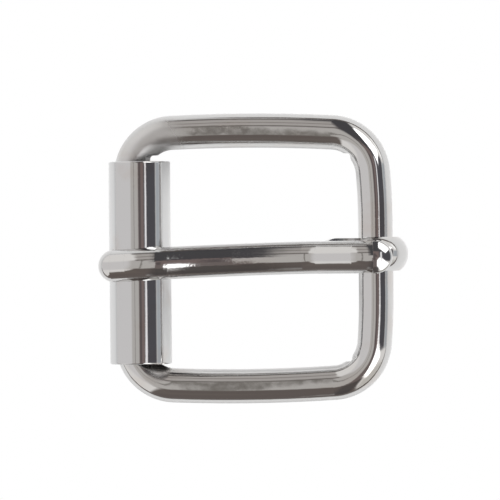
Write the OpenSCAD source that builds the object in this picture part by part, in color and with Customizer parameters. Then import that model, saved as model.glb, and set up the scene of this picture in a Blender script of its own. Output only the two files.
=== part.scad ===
// Roller buckle for a 25 mm strap: a ring of bent round wire, a loose tube roller on one bar, and a
// tongue of round wire whose heel is flattened and wrapped round the other bar.
// Origin at the middle of the heel bar's axis. X runs from the roller to the heel bar, Y along
// the heel bar, Z up. The buckle lies flat, on the roller and on the tongue's eye.

/* [Wire frame] */
// Diameter of the frame's round wire
frame_wire_d = 4; // [3.6:0.1:4]
// Straight middle of the heel bar, to one side of its centre
heel_straight = 4.4; // [4:0.1:5]
// Radius of the heel bar's shallow shoulders
shoulder_r = 66; // [60:1:80]
// Turn of each shoulder, in degrees
shoulder_turn = 4.8; // [4:0.1:5]
// Centreline radius of the two corners beside the heel bar
heel_corner_r = 5; // [4.8:0.1:5.2]
// Turn of those corners, in degrees
heel_corner_turn = 81.6; // [81:0.1:82]
// Centreline radius of the long sides, which bow outward
side_r = 188; // [170:1:220]
// Turn of each long side, in degrees
side_turn = 5.8; // [5.4:0.1:6]
// Centreline radius of the two corners beside the roller
roller_corner_r = 5.1; // [5:0.1:5.5]
// Radius of the ring's four inner corners, which are pressed square
inner_corner_r = 0.35; // [0.2:0.05:0.5]

/* [Roller] */
// Outer diameter of the roller tube
roller_d = 7.2; // [7.2:0.02:7.3]
// Length of the roller tube
roller_len = 23.6; // [21:0.1:23.8]
// Wall of the roller tube
roller_wall = 0.45; // [0.4:0.01:0.45]
// Rounding of the tube's rims
roller_rim_r = 0.18; // [0.05:0.01:0.19]
// How far the loose roller lies from its bar's axis, towards the heel bar
roller_shift_x = 1.08; // [0.6:0.01:1.09]
// How far the loose roller lies along its bar
roller_shift_y = -0.4; // [-0.6:0.1:0.6]
// How far the roller's axis lies above its bar's axis
roller_shift_z = 0.2; // [0:0.05:0.2]

/* [Tongue shank] */
// Diameter of the tongue's round wire
tongue_wire_d = 3.75; // [3.6:0.05:3.8]
// Centre of the shank's heel end, along X
heel_end_x = 0.59; // [0.4:0.01:0.7]
// Centre of the shank's heel end, along Y
heel_end_y = 0.03; // [-0.2:0.01:0.3]
// Height of that centre over the heel bar's axis
heel_end_z = 3.96; // [3.96:0.01:4.1]
// Rise of the shank where it leaves the heel end, in degrees
heel_rise = 8.4; // [8.3:0.1:9.2]
// Radius of the pressed heel end, seen from above
heel_end_r = 1.9; // [1.89:0.01:2]
// Radius of the low dome on top of it
heel_dome_r = 4; // [3.5:0.1:4.4]
// Rounding of the dome's rim
heel_rim_r = 0.5; // [0.4:0.1:0.6]
// Lean of the pressed heel end away from the shank, in degrees
heel_lean = 5; // [0:0.5:7]

/* [Tongue eye] */
// Running clearance between the heel bar and the eye
eye_clearance = 0.1; // [0.05:0.01:0.15]
// Width of the half-round strap that makes the eye
strap_w = 3.9; // [3.4:0.05:4.1]
// Thickness of the strap at its crown
strap_t = 1.66; // [1.4:0.01:1.7]
// Radius of the strap's rounded crown
crown_r = 2.35; // [2.1:0.05:2.6]
// Shift of the strap along the heel bar
strap_shift_y = 0.36; // [0:0.01:0.4]
// Angle round the bar where the strap leaves the shank
strap_from = 112; // [95:1:115]
// Rise of the tail that closes the eye, in degrees
tail_rise = 30; // [20:1:30]
// Length of the tail, to the crown of its rounded end
tail_len = 5.9; // [4.5:0.1:5.9]
// Width of the tail, a little narrower than the strap
tail_w = 3.7; // [3.4:0.05:3.8]

/* [Hidden] */
$fn = 96;

// Columns of the wire tables: length of a stretch, and its upward and leftward turn in degrees
RUN = 0;
UP = 1;
LEFT = 2;

// A bent wire is made of stretches that stop just short of each other, each joint bridged by a
// sleeve that stands a few thousandths of a millimetre proud and closes it to one solid
stretch_gap = 0.02;
sleeve_half = 0.04;
sleeve_rise = 0.004;

frame_wire_r = frame_wire_d / 2;
tongue_wire_r = tongue_wire_d / 2;

// The heel end's dome stands a little proud of the round wire, and its underside is rounded
dome_rise = 0.05;
heel_under_r = 0.9;
// How far the heel end laps onto the start of the round wire
heel_lap = 0.4;
// Heights of the dome's centre and of the centre of its rounded rim, about which the end leans
dome_z = tongue_wire_r + dome_rise - heel_dome_r;
heel_rim_x = heel_end_r - heel_rim_r;
heel_rim_z = dome_z + sqrt(pow(heel_dome_r - heel_rim_r, 2) - pow(heel_rim_x, 2));

// Half of the ring, from the middle of the heel bar to where the roller's bar turns straight
roller_corner_turn = 180 - shoulder_turn - heel_corner_turn - side_turn;
HALF_RING = [
    [heel_straight, 0, 0],
    [arc_run(shoulder_r, shoulder_turn), 0, shoulder_turn],
    [arc_run(heel_corner_r, heel_corner_turn), 0, heel_corner_turn],
    [arc_run(side_r, side_turn), 0, side_turn],
    [arc_run(roller_corner_r, roller_corner_turn), 0, roller_corner_turn],
];
// Columns of the table of pressed corners: the bend's row in HALF_RING, how far the corner stands
// in from the inner edges of the long side and of the bar, and which way the bar lies, 1 or -1
BEND = 0;
FROM_SIDE = 1;
FROM_BAR = 2;
BAR_WAY = 3;
PRESSED_CORNERS = [
    [2, 0.47, 0.5, 1],
    [4, 0.6, 0.08, -1],
];
// Size of the press that squares a corner
press_w = 2.2;
press_h = 1.2 * frame_wire_d;

// The half ring reaches this far forward of the heel bar and to its left
roller_bar_half = forward_of(HALF_RING, len(HALF_RING));
roller_bar_x = -left_of(HALF_RING, len(HALF_RING));

// The shank, from its heel end to its tip
SHANK = [
    [2.4, -18, 0],      // hump over the heel bar
    [4.35, 0, 0],       // straight fall
    [1.95, 12.2, 0.9],  // kink where it levels out
    [8.1, 5.1, 0.9],    // long hollow, also bent a little to one side
    [7.8, 10.9, 0.7],   // rise towards the roller
    [1.1, -10.8, 0],    // shoulder before the roller
    [3.2, -16.7, 0],    // bend over the roller
    [1.8, 0, 0],        // straight tip
];

roller_r = roller_d / 2;
roller_x = roller_bar_x + roller_shift_x;
roller_z = roller_shift_z;

eye_bore_r = frame_wire_r + eye_clearance;
eye_r = eye_bore_r + strap_t;
// Where the tail leaves the bar, as an angle round it from +X towards +Z
tail_from = -90 - tail_rise;

// The ring lies tilted by the angle at which the roller and the eye touch one level surface
roller_reach = norm([roller_x, roller_z]);
rest_tilt = asin((eye_r - roller_r) / roller_reach) + atan(roller_z / -roller_x);

// Length of an arc from its radius and turn
function arc_run(r, turn) = r * turn * PI / 180;

// Heading at the start of row i, counted leftward from the first row's
function heading(rows, i) = i == 0 ? 0 : heading(rows, i - 1) + rows[i - 1][LEFT];

// Forward and leftward reach of one row that starts at heading h
function row_forward(row, h) =
    row[LEFT] == 0 ? row[RUN] * cos(h)
    : row_radius(row) * (sin(h + row[LEFT]) - sin(h));
function row_left(row, h) =
    row[LEFT] == 0 ? row[RUN] * sin(h)
    : row_radius(row) * (cos(h) - cos(h + row[LEFT]));
function row_radius(row) = row[RUN] * 180 / PI / row[LEFT];

// Reach of the first rows of a flat table
function forward_of(rows, count) =
    count == 0 ? 0
    : row_forward(rows[count - 1], heading(rows, count - 1)) + forward_of(rows, count - 1);
function left_of(rows, count) =
    count == 0 ? 0
    : row_left(rows[count - 1], heading(rows, count - 1)) + left_of(rows, count - 1);

// One stretch of round wire along +X that turns left
module stretch(run, turn, wire_r) {
    bend_r = turn == 0 ? 0 : run * 180 / PI / turn;
    gap_turn = turn * stretch_gap / run;
    if (turn == 0)
        translate([stretch_gap, 0, 0])
            rotate([0, 90, 0]) cylinder(h = run - 2 * stretch_gap, r = wire_r);
    else
        translate([0, bend_r, 0])
            rotate([0, 0, gap_turn - 90])
                rotate_extrude(angle = turn - 2 * gap_turn)
                    translate([bend_r, 0]) circle(r = wire_r);
}

// The sleeve that bridges the joint at the origin of a wire along +X
module sleeve(wire_r) {
    translate([-sleeve_half, 0, 0])
        rotate([0, 90, 0]) cylinder(h = 2 * sleeve_half, r = wire_r + sleeve_rise);
}

// Moves its children from the start of a stretch to its end
module past_stretch(run, turn) {
    bend_r = turn == 0 ? 0 : run * 180 / PI / turn;
    if (turn == 0)
        translate([run, 0, 0]) children();
    else
        translate([0, bend_r, 0])
            rotate([0, 0, turn])
                translate([0, -bend_r, 0]) children();
}

// Round wire bent through the rows of a table, with its children at the far end
module bent_wire(rows, wire_r, i = 0) {
    if (i == len(rows)) {
        children();
    } else {
        run = rows[i][RUN];
        turn = norm([rows[i][UP], rows[i][LEFT]]);
        bend_plane = turn == 0 ? 0 : atan2(rows[i][UP], rows[i][LEFT]);
        rotate([bend_plane, 0, 0]) {
            stretch(run, turn, wire_r);
            past_stretch(run, turn)
                rotate([-bend_plane, 0, 0]) {
                    sleeve(wire_r);
                    bent_wire(rows, wire_r, i + 1) children();
                }
        }
    }
}

// Half a ball on the end of a wire that runs along +X
module round_end(wire_r) {
    rotate([0, 90, 0])
        rotate_extrude()
            intersection() {
                circle(r = wire_r);
                square(wire_r);
            }
}

// Tilts the level ring to how it lies
module at_rest() {
    rotate([0, -rest_tilt, 0]) children();
}

module half_ring() {
    rotate([0, 0, 90])
        bent_wire(HALF_RING, frame_wire_r)
            stretch(roller_bar_half, 0, frame_wire_r);
}

// Outline of the press that squares a corner, with its rounded corner at the origin
module press_outline() {
    translate([-press_w, 0]) square([press_w - inner_corner_r, press_w]);
    translate([-press_w, inner_corner_r]) square([press_w, press_w - inner_corner_r]);
    translate([-inner_corner_r, inner_corner_r]) circle(r = inner_corner_r);
}

// The presses of half of the ring
module half_presses() {
    rotate([0, 0, 90])
        for (corner = PRESSED_CORNERS) {
            row = corner[BEND];
            bend_r = row_radius(HALF_RING[row]);
            turned = heading(HALF_RING, row);
            reach = bend_r - frame_wire_r;
            forward = forward_of(HALF_RING, row) - bend_r * sin(turned) + reach - corner[FROM_SIDE];
            left = left_of(HALF_RING, row) + bend_r * cos(turned)
                - corner[BAR_WAY] * (reach - corner[FROM_BAR]);
            translate([forward, left, -press_h / 2])
                mirror([0, corner[BAR_WAY] == 1 ? 0 : 1, 0])
                    linear_extrude(press_h) press_outline();
        }
}

module frame() {
    color("silver")
        at_rest()
            difference() {
                union() {
                    half_ring();
                    mirror([0, 1, 0]) half_ring();
                    for (x = [0, roller_bar_x])
                        translate([x, 0, 0])
                            rotate([0, 0, 90]) sleeve(frame_wire_r);
                }
                half_presses();
                mirror([0, 1, 0]) half_presses();
            }
}

// Half section of the roller's wall, with rounded rims
module roller_wall_section() {
    inner_r = roller_r - roller_wall;
    rim_x = [inner_r + roller_rim_r, roller_r - roller_rim_r];
    rim_y = [roller_rim_r, roller_len - roller_rim_r];
    translate([inner_r, roller_rim_r])
        square([roller_wall, roller_len - 2 * roller_rim_r]);
    translate([rim_x[0], 0])
        square([rim_x[1] - rim_x[0], roller_len]);
    for (x = rim_x, y = rim_y)
        translate([x, y]) circle(r = roller_rim_r);
}

module roller() {
    color("lightgray")
        at_rest()
            translate([roller_x, roller_shift_y + roller_len / 2, roller_z])
                rotate([90, 0, 0])
                    rotate_extrude() roller_wall_section();
}

// Section of the strap, with its flat side at the eye's bore and its crown outward
module strap_section() {
    intersection() {
        translate([eye_r - crown_r, 0]) circle(r = crown_r);
        translate([eye_bore_r, -strap_w / 2]) square([strap_t, strap_w]);
    }
}

// Outline of the tail seen flat, which ends in a half circle
module tail_outline() {
    end_r = tail_w / 2;
    translate([0, -end_r]) square([tail_len - end_r, tail_w]);
    translate([tail_len - end_r, 0]) circle(r = end_r);
}

// The strap round the heel bar and its tail, which rises back under the shank
module eye() {
    translate([0, strap_shift_y, 0])
        rotate([90, 0, 0])
            rotate([0, 0, tail_from]) {
                rotate_extrude(angle = strap_from - tail_from) strap_section();
                intersection() {
                    rotate([90, 0, 0]) linear_extrude(tail_len) strap_section();
                    rotate([0, 90, 0]) rotate([0, 0, -90]) linear_extrude(eye_r) tail_outline();
                }
            }
}

// Half section of the pressed heel end: a low dome with a rounded rim, and a rounded underside
module heel_end_section() {
    under_x = heel_end_r - heel_under_r;
    intersection() {
        translate([0, dome_z]) circle(r = heel_dome_r);
        square([heel_rim_x * heel_dome_r / (heel_dome_r - heel_rim_r), heel_dome_r]);
    }
    translate([heel_rim_x, heel_rim_z]) circle(r = heel_rim_r);
    square([heel_end_r, heel_rim_z]);
    translate([0, -heel_under_r]) square([under_x, 2 * heel_under_r]);
    translate([under_x, 0]) circle(r = heel_under_r);
}

// The pressed heel end, cut off just past the start of the round wire
module heel_end() {
    room = 2 * heel_end_r;
    translate([0, 0, heel_rim_z])
        rotate([0, -heel_lean, 0])
            translate([0, 0, -heel_rim_z])
                intersection() {
                    rotate_extrude() heel_end_section();
                    translate([-room, -room, -room]) cube([room + heel_lap, 2 * room, 2 * room]);
                }
}

module shank() {
    translate([heel_end_x, heel_end_y, heel_end_z])
        rotate([0, 0, 180])
            rotate([0, -heel_rise, 0]) {
                heel_end();
                bent_wire(SHANK, tongue_wire_r) round_end(tongue_wire_r);
            }
}

module tongue() {
    color("gainsboro")
        at_rest() {
            shank();
            eye();
        }
}

frame();
roller();
tongue();
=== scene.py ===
import math

import bpy
from mathutils import Matrix, Vector


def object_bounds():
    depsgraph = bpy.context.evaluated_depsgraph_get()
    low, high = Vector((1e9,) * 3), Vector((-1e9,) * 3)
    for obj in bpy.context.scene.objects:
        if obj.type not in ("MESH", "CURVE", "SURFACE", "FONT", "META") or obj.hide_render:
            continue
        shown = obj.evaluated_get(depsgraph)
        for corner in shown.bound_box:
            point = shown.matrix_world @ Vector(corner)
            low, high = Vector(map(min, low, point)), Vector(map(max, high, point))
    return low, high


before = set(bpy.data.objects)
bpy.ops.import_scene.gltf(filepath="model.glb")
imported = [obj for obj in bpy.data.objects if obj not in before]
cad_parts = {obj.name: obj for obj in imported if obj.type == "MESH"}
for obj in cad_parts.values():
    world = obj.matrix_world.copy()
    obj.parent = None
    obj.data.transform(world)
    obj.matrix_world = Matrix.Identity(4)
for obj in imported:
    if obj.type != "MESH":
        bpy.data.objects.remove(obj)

cad_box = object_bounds()

# Camera: far off, above the buckle and leaning towards the heel bar
CAMERA_LEAN = math.radians(9.24)
CAMERA_ROLL = math.radians(0.6)
CAMERA_DISTANCE = 0.450
LENS_MM = 280.3
SENSOR_MM = 36.0
CLIP_NEAR = 0.01
CLIP_FAR = 10.0
# Where the middle of the picture falls, across and along the heel bar, in metres
AIM_ACROSS = -0.014534
AIM_ALONG = 0.00096

lean_sin, lean_cos = math.sin(CAMERA_LEAN), math.cos(CAMERA_LEAN)
view_right = Vector((lean_cos, 0.0, -lean_sin))
view_up = Vector((0.0, 1.0, 0.0))
view_back = Vector((lean_sin, 0.0, lean_cos))


def add_camera():
    data = bpy.data.cameras.new("camera")
    data.lens = LENS_MM
    data.sensor_width = SENSOR_MM
    data.clip_start = CLIP_NEAR
    data.clip_end = CLIP_FAR
    cam = bpy.data.objects.new("camera", data)
    bpy.context.scene.collection.objects.link(cam)
    right = view_right * math.cos(CAMERA_ROLL) - view_up * math.sin(CAMERA_ROLL)
    up = view_right * math.sin(CAMERA_ROLL) + view_up * math.cos(CAMERA_ROLL)
    place = view_right * AIM_ACROSS + view_up * AIM_ALONG + view_back * CAMERA_DISTANCE
    turn = Matrix((right, up, view_back)).transposed()
    cam.matrix_world = Matrix.Translation(place) @ turn.to_4x4()
    bpy.context.scene.camera = cam


add_camera()


def linear(level):
    """Scene brightness of a picture level from 0 to 255."""
    c = level / 255.0
    return c / 12.92 if c <= 0.04045 else ((c + 0.055) / 1.055) ** 2.4


def opaque(red, green, blue):
    """A colour as a node takes it, with full alpha."""
    return (red, green, blue, 1.0)


WHITE = opaque(1.0, 1.0, 1.0)


class Nodes:
    """Short calls that build a node tree."""

    def __init__(self, tree):
        self.tree = tree
        tree.nodes.clear()

    def add(self, kind, **props):
        node = self.tree.nodes.new(kind)
        for key, value in props.items():
            setattr(node, key, value)
        return node

    def put(self, socket, value):
        """Links a socket or sets a constant, and leaves the input alone where value is None."""
        if isinstance(value, bpy.types.NodeSocket):
            self.tree.links.new(value, socket)
        elif value is not None:
            socket.default_value = value

    def math(self, op, a, b=None, c=None):
        node = self.add("ShaderNodeMath", operation=op)
        for socket, value in zip(node.inputs, (a, b, c)):
            self.put(socket, value)
        return node.outputs[0]

    def vector(self, op, a, b=None):
        node = self.add("ShaderNodeVectorMath", operation=op)
        self.put(node.inputs[0], a)
        self.put(node.inputs[1], b)
        gives_number = op in ("DOT_PRODUCT", "DISTANCE", "LENGTH")
        return node.outputs["Value" if gives_number else "Vector"]

    def remap(self, value, from_min, from_max, to_min, to_max, interpolation="LINEAR"):
        node = self.add("ShaderNodeMapRange", interpolation_type=interpolation)
        self.put(node.inputs["Value"], value)
        ends = {"From Min": from_min, "From Max": from_max, "To Min": to_min, "To Max": to_max}
        for name, end in ends.items():
            node.inputs[name].default_value = end
        return node.outputs["Result"]

    def smooth(self, value, low, high):
        """0 on low's side, 1 on high's side, smooth between. low may be the larger."""
        if low < high:
            return self.remap(value, low, high, 0.0, 1.0, "SMOOTHSTEP")
        return self.remap(value, high, low, 1.0, 0.0, "SMOOTHSTEP")

    def mix(self, share, a, b):
        node = self.add("ShaderNodeMix", data_type="RGBA")
        self.put(node.inputs[0], share)
        self.put(node.inputs[6], a)
        self.put(node.inputs[7], b)
        return node.outputs[2]

    def noise(self, coords, scale, detail=2.0):
        node = self.add("ShaderNodeTexNoise")
        self.put(node.inputs["Vector"], coords)
        node.inputs["Scale"].default_value = scale
        node.inputs["Detail"].default_value = detail
        return node.outputs["Fac"]

    def shader(self, kind, colour, strength=None):
        node = self.add(kind)
        self.put(node.inputs["Color"], colour)
        if strength is not None:
            node.inputs["Strength"].default_value = strength
        return node.outputs[0]

    def by_viewer(self, mirrored, seen):
        """One shader to what mirrors it, and another to the camera itself."""
        both = self.add("ShaderNodeMixShader")
        self.put(both.inputs[0], self.add("ShaderNodeLightPath").outputs["Is Camera Ray"])
        self.put(both.inputs[1], mirrored)
        self.put(both.inputs[2], seen)
        return both.outputs[0]

    def output(self, kind, surface):
        self.put(self.add(kind).inputs["Surface"], surface)


# Studio: what the bright metal mirrors. A panel is a soft-edged patch of the studio's dome, placed
# by the tilt of the metal that mirrors it to the main camera: 0 is straight back, 0.7 the horizon.
# A picture colour is divided by the share of light that the metal mirrors.
REFLECTANCE = 0.60
STUDIO_BASE = (206, 204, 202)
# Name, centre across and along, half sizes, turn in degrees, softness, picture colour, gain
PANELS = [
    ("pale wall", -0.52, 0.00, 0.30, 0.24, 0, 0.10, (190, 188, 188), 1.0),
    ("grey ceiling", -0.11, 0.00, 0.17, 0.27, 0, 0.06, (167, 164, 161), 1.0),
    ("grey beams", -0.11, 0.48, 0.115, 0.27, 0, 0.05, (158, 154, 151), 1.0),
    ("gap by the wall", -0.14, 0.655, 0.10, 0.030, -4, 0.03, (96, 92, 91), 1.0),
    ("second gap", -0.14, 0.455, 0.09, 0.022, 3, 0.03, (126, 121, 118), 1.0),
    ("third gap", -0.14, 0.270, 0.09, 0.030, 5, 0.03, (106, 101, 99), 1.0),
    ("grey side", 0.60, -0.62, 0.42, 0.32, 0, 0.08, (182, 181, 177), 1.0),
    ("floor beyond, left", -0.22, -0.52, 0.13, 0.27, -25.6, 0.05, (96, 89, 85), 1.0),
    ("floor beyond, right", 0.00, -0.50, 0.12, 0.26, 27, 0.05, (92, 85, 82), 1.0),
    ("floor beyond, edge", -0.20, -0.67, 0.13, 0.15, 0, 0.05, (92, 85, 82), 1.0),
    ("dark doorway", 0.03, -0.52, 0.10, 0.26, 0, 0.08, (72, 68, 67), 1.0),
    ("dark room", 0.03, 0.45, 0.12, 0.36, 0, 0.05, (65, 64, 66), 1.0),
    ("dark side", 0.28, 0.05, 0.24, 0.17, 0, 0.06, (73, 72, 76), 1.0),
    ("camera stand", 0.05, -0.03, 0.09, 0.19, 0, 0.05, (110, 98, 96), 1.0),
    ("camera", 0.01, 0.00, 0.035, 0.10, 0, 0.03, (86, 79, 79), 1.0),
    ("blue grey edge", 0.59, 0.02, 0.06, 0.14, 0, 0.05, (154, 158, 162), 1.0),
    ("pale blind above", 0.53, 0.36, 0.045, 0.15, 30, 0.06, (240, 240, 239), 1.0),
    ("pale blind below", 0.67, -0.25, 0.045, 0.11, -15, 0.06, (243, 243, 241), 1.0),
    ("softbox above", 0.25, 0.32, 0.19, 0.115, -38, 0.05, (255, 255, 255), 2.2),
    ("softbox below", 0.20, -0.195, 0.14, 0.13, -40, 0.06, (255, 255, 255), 1.7),
    ("room edge", 0.03, 0.47, 0.095, 0.30, 0, 0.03, (66, 65, 67), 1.0),
    ("stand foot", 0.015, -0.20, 0.07, 0.11, 0, 0.03, (102, 94, 92), 1.0),
    ("doorway edge", 0.025, -0.42, 0.07, 0.12, 0, 0.04, (76, 72, 70), 1.0),
    ("lamp tube", 0.20, 0.00, 0.024, 0.14, 0, 0.03, (222, 220, 222), 1.0),
    ("thin pole", -0.175, 0.00, 0.006, 0.27, 0, 0.012, (108, 104, 100), 1.0),
]


def studio_light(levels, gain):
    return opaque(*(linear(level) / REFLECTANCE * gain for level in levels))


def panel_share(n, across, along, centre, half_sizes, turn, soft):
    """1 on the panel, 0 off it and soft at its edges."""
    c, s = math.cos(math.radians(turn)), math.sin(math.radians(turn))
    dx = n.math("SUBTRACT", across, centre[0])
    dy = n.math("SUBTRACT", along, centre[1])
    turned_x = n.math("ADD", n.math("MULTIPLY", dx, c), n.math("MULTIPLY", dy, s))
    turned_y = n.math("SUBTRACT", n.math("MULTIPLY", dy, c), n.math("MULTIPLY", dx, s))
    inside = [
        n.smooth(n.math("ABSOLUTE", offset), half + soft / 2, half - soft / 2)
        for offset, half in zip((turned_x, turned_y), half_sizes)
    ]
    return n.math("MULTIPLY", *inside)


def add_studio():
    world = bpy.data.worlds.new("studio")
    bpy.context.scene.world = world
    world.use_nodes = True
    world.cycles_visibility.diffuse = False
    n = Nodes(world.node_tree)
    # The direction halfway between a mirrored ray and the view is that of the metal's tilt
    direction = n.add("ShaderNodeTexCoord").outputs["Generated"]
    tilt = n.vector("NORMALIZE", n.vector("ADD", direction, view_back))
    across = n.vector("DOT_PRODUCT", tilt, view_right)
    along = n.vector("DOT_PRODUCT", tilt, view_up)

    colour = studio_light(STUDIO_BASE, 1.0)
    for name, x, y, half_x, half_y, turn, soft, levels, gain in PANELS:
        share = panel_share(n, across, along, (x, y), (half_x, half_y), turn, soft)
        colour = n.mix(share, colour, studio_light(levels, gain))
        colour.node.label = name

    lit = n.shader("ShaderNodeBackground", colour)
    plain = n.shader("ShaderNodeBackground", WHITE)
    n.output("ShaderNodeOutputWorld", n.by_viewer(lit, plain))


add_studio()

# Lamps that light the paper only. Name, direction towards the lamp, strength, spread in degrees
LAMPS = [
    ("key", (0.20, 0.60, 0.77), 1.9, 50),
    ("fill", (0.0, 0.0, 1.0), 0.9, 150),
]


def add_lamps():
    for name, towards, strength, spread in LAMPS:
        lamp = bpy.data.lights.new(name, "SUN")
        lamp.energy = strength
        lamp.angle = math.radians(spread)
        holder = bpy.data.objects.new(name, lamp)
        holder.rotation_euler = Vector(towards).to_track_quat("Z", "Y").to_euler()
        holder.visible_glossy = False
        bpy.context.scene.collection.objects.link(holder)


add_lamps()

# Floor: a square of paper just under the buckle
FLOOR_HALF = 0.6
FLOOR_GAP = 0.00002
# Painted light on the paper: its tone near the buckle and far off, painted lighter near it as a
# pool of light, the distances between which it changes, and a painted glow, light that it gives
# off besides what the lamps give
PAPER_POOL_LIT = 0.95
PAPER_POOL_DIM = 0.72
PAPER_POOL_FADE = (0.018, 0.110)
PAPER_PAINTED_GLOW = 0.36
# The brown table that ends the paper, and where it begins: along Y before and behind the buckle,
# and for the part behind it also along X
TABLE_BROWN = opaque(0.17, 0.15, 0.14)
TABLE_BEFORE = (-0.028, -0.042)
TABLE_BEHIND = (0.036, 0.052)
TABLE_BESIDE = (-0.031, -0.023)


def paper_tone_with_painted_pool(n, floor_z):
    place = n.add("ShaderNodeTexCoord").outputs["Object"]
    apart = n.vector("DISTANCE", place, (AIM_ACROSS, 0.0, floor_z))
    pool_lit_tone = opaque(PAPER_POOL_LIT, PAPER_POOL_LIT, PAPER_POOL_LIT)
    pool_dim_tone = opaque(PAPER_POOL_DIM, PAPER_POOL_DIM, PAPER_POOL_DIM)
    # Painted pool of light: the paper is lighter near the buckle and darker far off
    tone = n.mix(n.smooth(apart, *PAPER_POOL_FADE), pool_lit_tone, pool_dim_tone)
    across = n.vector("DOT_PRODUCT", place, (1.0, 0.0, 0.0))
    along = n.vector("DOT_PRODUCT", place, (0.0, 1.0, 0.0))
    tone = n.mix(n.smooth(along, *TABLE_BEFORE), tone, TABLE_BROWN)
    behind = n.math("MULTIPLY", n.smooth(along, *TABLE_BEHIND), n.smooth(across, *TABLE_BESIDE))
    return n.mix(behind, tone, TABLE_BROWN)


def paper_material(floor_z):
    """Blown out white to the camera, paper and table to what the metal mirrors; the paper carries
    a painted pool of light and a painted glow.
    """
    material = bpy.data.materials.new("floor")
    material.use_nodes = True
    n = Nodes(material.node_tree)
    tone = paper_tone_with_painted_pool(n, floor_z)
    paper = n.add("ShaderNodeAddShader")
    n.put(paper.inputs[0], n.shader("ShaderNodeBsdfDiffuse", tone))
    # Painted glow: emission that stands in for fill light on the paper and lightens its shadows
    n.put(paper.inputs[1], n.shader("ShaderNodeEmission", tone, PAPER_PAINTED_GLOW))
    seen = n.shader("ShaderNodeEmission", WHITE)
    n.output("ShaderNodeOutputMaterial", n.by_viewer(paper.outputs[0], seen))
    return material


def add_floor():
    half = FLOOR_HALF
    z = cad_box[0][2] - FLOOR_GAP
    mesh = bpy.data.meshes.new("floor")
    corners = [(-half, -half, z), (half, -half, z), (half, half, z), (-half, half, z)]
    mesh.from_pydata(corners, [], [(0, 1, 2, 3)])
    mesh.materials.append(paper_material(z))
    floor = bpy.data.objects.new("floor", mesh)
    bpy.context.scene.collection.objects.link(floor)


add_floor()

# Plating: worn patches, which are a little browner and carry most of the speckle
WORN_SCALE = 240.0
WORN_RANGE = (0.52, 0.70)
WORN_TINT = (0.97, 0.94, 0.92)
# Speckle that the metal has everywhere, as a share of what the worn patches add
SPECKLE_EVERYWHERE = 0.15
# How the roughness changes from place to place: noise scale, detail and range, and the least and
# most roughness as shares of the given one
DULL_SCALE = 900.0
DULL_DETAIL = 3.0
DULL_RANGE = (0.35, 0.75)
DULL_SHARES = (0.6, 1.6)
# Noise scale, and depth in metres, of each kind of dent
WAVE = (190.0, 0.000060)
RIPPLE = (700.0, 0.000025)
SPECKLE = (5500.0, 0.000009)
SCUFF = (9000.0, 0.000010)


def near_place(n, coords, point, inner, outer, axes):
    """1 within inner of the point, 0 beyond outer, counting only the given axes."""
    offset = n.vector("SUBTRACT", coords, point)
    apart = n.vector("LENGTH", n.vector("MULTIPLY", offset, axes))
    return n.smooth(apart, outer, inner)


def uneven_roughness(n, coords, roughness, dull_places):
    low, high = (roughness * share for share in DULL_SHARES)
    rough = n.remap(n.noise(coords, DULL_SCALE, DULL_DETAIL), *DULL_RANGE, low, high)
    for *place, dullness in dull_places:
        here = near_place(n, coords, *place)
        rough = n.math("MAXIMUM", rough, n.math("MULTIPLY", here, dullness))
    return rough


def dented_normal(n, bumps):
    """A bump for each row of coordinates, noise scale and depth, and strength."""
    normal = None
    for coords, (scale, depth), strength in bumps:
        bump = n.add("ShaderNodeBump")
        bump.inputs["Distance"].default_value = depth
        n.put(bump.inputs["Strength"], strength)
        n.put(bump.inputs["Height"], n.noise(coords, scale))
        n.put(bump.inputs["Normal"], normal)
        normal = bump.outputs["Normal"]
    return normal


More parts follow.
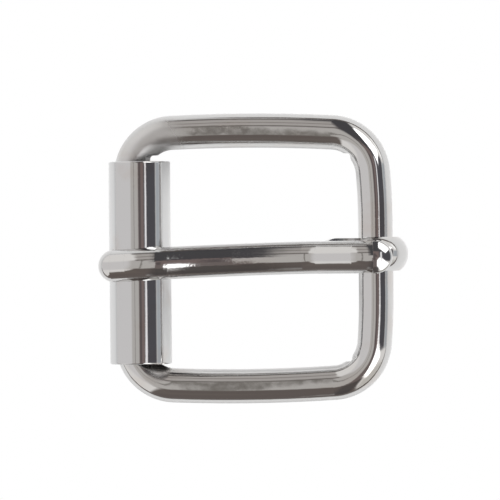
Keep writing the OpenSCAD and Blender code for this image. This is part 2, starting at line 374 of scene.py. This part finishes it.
def plated_metal(name, colour, roughness, waviness, speckle, streak, dull_places=(), scuffs=()):
    """Bright plated steel: a little wavy all over, speckled in worn patches, unevenly dull.

    streak shortens the noise's coordinates along X and so draws its patches out that way.
    A dull place is a point, the reach where the metal is fully dull and where it is bright again,
    the axes that count, and the roughness there. A scuff has the same first four values, and the
    strength of its dents.
    """
    material = bpy.data.materials.new(name)
    material.use_nodes = True
    n = Nodes(material.node_tree)
    coords = n.add("ShaderNodeTexCoord").outputs["Object"]
    drawn = n.vector("MULTIPLY", coords, (streak, 1.0, 1.0))
    shader = n.add("ShaderNodeBsdfPrincipled")
    shader.inputs["Metallic"].default_value = 1.0

    worn = n.smooth(n.noise(drawn, WORN_SCALE), *WORN_RANGE)
    tint = opaque(*(c * t for c, t in zip(colour, WORN_TINT)))
    n.put(shader.inputs["Base Color"], n.mix(worn, opaque(*colour), tint))
    n.put(shader.inputs["Roughness"], uneven_roughness(n, coords, roughness, dull_places))

    speckled = n.math("MULTIPLY_ADD", worn, speckle, speckle * SPECKLE_EVERYWHERE)
    bumps = [(coords, WAVE, waviness), (drawn, RIPPLE, waviness), (drawn, SPECKLE, speckled)]
    for *place, strength in scuffs:
        scuffed = n.math("MULTIPLY", near_place(n, coords, *place), strength)
        bumps.append((drawn, SCUFF, scuffed))
    n.put(shader.inputs["Normal"], dented_normal(n, bumps))
    n.output("ShaderNodeOutputMaterial", shader.outputs[0])
    return material


ALL_AXES = (1.0, 1.0, 1.0)
# The frame is duller in the corners beside the roller
DULL_CORNERS = (
    ((-0.0265, 0.0127, 0.0), 0.0030, 0.0070, ALL_AXES, 0.34),
    ((-0.0262, 0.0120, -0.0010), 0.0018, 0.0040, ALL_AXES, 0.65),
    ((-0.0256, -0.0131, 0.0004), 0.0010, 0.0023, ALL_AXES, 0.32),
)
# The roller is duller inside its bore, round its axis
ROLLER_AXIS = (-0.027746, 0.0, -0.00016)
DULL_BORE = ((ROLLER_AXIS, 0.0032, 0.0034, (1.0, 0.0, 1.0), 0.50),)
# The tongue is scuffed where a strap's holes rub it, before it meets the roller
SCUFFED_SHANK = (((-0.0200, 0.0, 0.0), 0.0030, 0.0075, (1.0, 0.0, 0.0), 0.9),)

NICKEL = (0.60, 0.595, 0.59)
ROLLER_NICKEL = (0.60, 0.60, 0.60)
PLATING_ROUGHNESS = 0.055


def add_finishes():
    finishes = {
        "frame": plated_metal(
            "frame_plating", NICKEL, PLATING_ROUGHNESS,
            waviness=0.5, speckle=0.45, streak=0.4, dull_places=DULL_CORNERS),
        "roller": plated_metal(
            "roller_plating", ROLLER_NICKEL, PLATING_ROUGHNESS,
            waviness=0.15, speckle=0.2, streak=1.0, dull_places=DULL_BORE),
        "tongue": plated_metal(
            "tongue_plating", NICKEL, PLATING_ROUGHNESS,
            waviness=0.4, speckle=0.8, streak=0.3, scuffs=SCUFFED_SHANK),
    }
    for name, material in finishes.items():
        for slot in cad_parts[name].material_slots:
            slot.material = material


add_finishes()

bpy.context.scene.view_settings.view_transform = "Standard"
bpy.context.scene.view_settings.look = "None"
